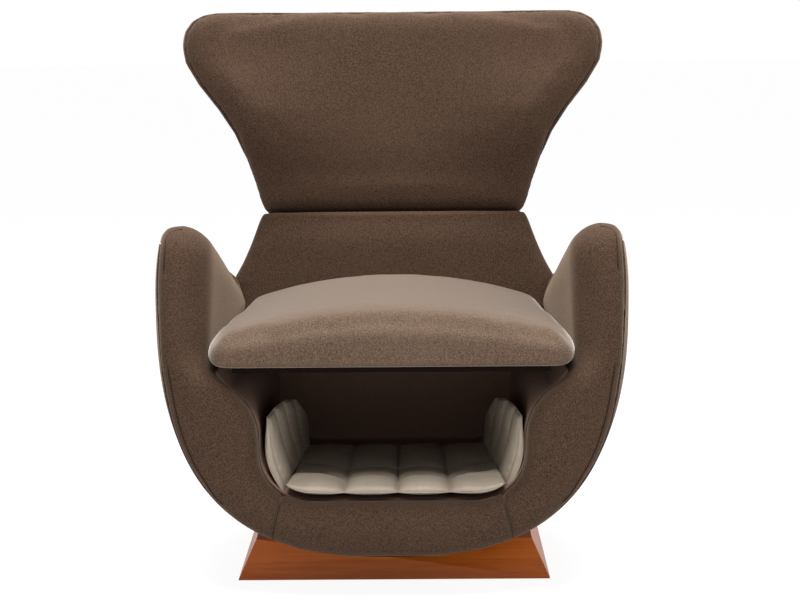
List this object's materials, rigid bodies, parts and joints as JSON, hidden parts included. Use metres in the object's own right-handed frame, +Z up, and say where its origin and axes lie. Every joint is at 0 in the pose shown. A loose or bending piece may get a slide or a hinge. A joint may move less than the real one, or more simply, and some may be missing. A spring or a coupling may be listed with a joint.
{
  "type": "lounge chair",
  "caption": "Egg-shaped swivel lounge chair with a tilting wing back, a padded seat and an open pet nest with a quilted mat beneath it, on a low wooden plinth",
  "frame": {"origin": "on the floor, on the swivel axis, which is also the middle of the overall box", "axes": "+X towards the viewer's right of the chair, +Y towards the back, +Z up; the sitter faces -Y"},
  "size_m": [0.814, 0.7473, 0.9656],
  "materials": {
    "felt": "woven",
    "felt_rear": "woven",
    "shell_felt": "woven",
    "lining": "matt",
    "mat": "satin",
    "foam": "open",
    "veneer": "satin",
    "ply": "plain",
    "steel": "plain",
    "nylon": "matt",
    "glide": "matt"
  },
  "bodies": {
    "plinth": {"plinth_front_board": "veneer", "plinth_rear_board": "veneer", "plinth_left_board": "veneer", "plinth_right_board": "veneer", "plinth_deck": "ply", "plinth_corner_blocks": "ply", "floor_glides": "glide", "swivel_lower_plate": "steel", "swivel_pivot": "steel", "swivel_glide_ring": "nylon", "swivel_lower_screws": "steel"},
    "tub": {"swivel_upper_plate": "steel", "swivel_upper_screws": "steel", "swivel_mounting_board": "ply", "outer_shell": "shell_felt", "front_lip_pad": "felt", "left_arm_pad": "felt", "right_arm_pad": "felt", "rear_tub_pad": "felt", "nest_liner": "lining", "left_nest_side_pad": "felt", "right_nest_side_pad": "felt", "nest_rear_pad": "foam", "nest_floor_board": "ply", "left_base_rail": "ply", "right_base_rail": "ply", "front_rib": "ply", "left_middle_rib": "ply", "right_middle_rib": "ply", "rear_bulkhead": "ply", "rear_cross_rail": "ply", "seat_board": "lining", "seat_core": "foam", "seat_cushion": "felt", "lower_back_pad": "felt", "lower_back_board": "ply", "lower_back_rear_cover": "felt_rear", "left_back_post": "ply", "right_back_post": "ply", "left_lower_hinge_plate": "steel", "right_lower_hinge_plate": "steel", "hinge_pins": "steel"},
    "wing_back": {"wing_pad": "felt", "wing_rear_cover": "felt_rear", "wing_frame": "ply", "left_upper_hinge_plate": "steel", "right_upper_hinge_plate": "steel"},
    "nest_mat": {"mat_floor_cushions": "mat", "mat_left_flap": "mat", "mat_right_flap": "mat"}
  },
  "joints": [
    {"name": "tub_swivel", "type": "hinge", "parent": "plinth", "child": "tub", "pos_m": [0, 0, 0.058], "axis": [0, 0, 1], "continuous": true},
    {"name": "wing_tilt", "type": "hinge", "parent": "tub", "child": "wing_back", "pos_m": [0, 0.23899, 0.626], "axis": [1, 0, 0], "range_deg": [0, 30]},
    {"name": "mat_lift", "type": "slide", "parent": "tub", "child": "nest_mat", "axis": [0, -0.9848, 0.1736], "range_m": [0, 0.42]}
  ]
}
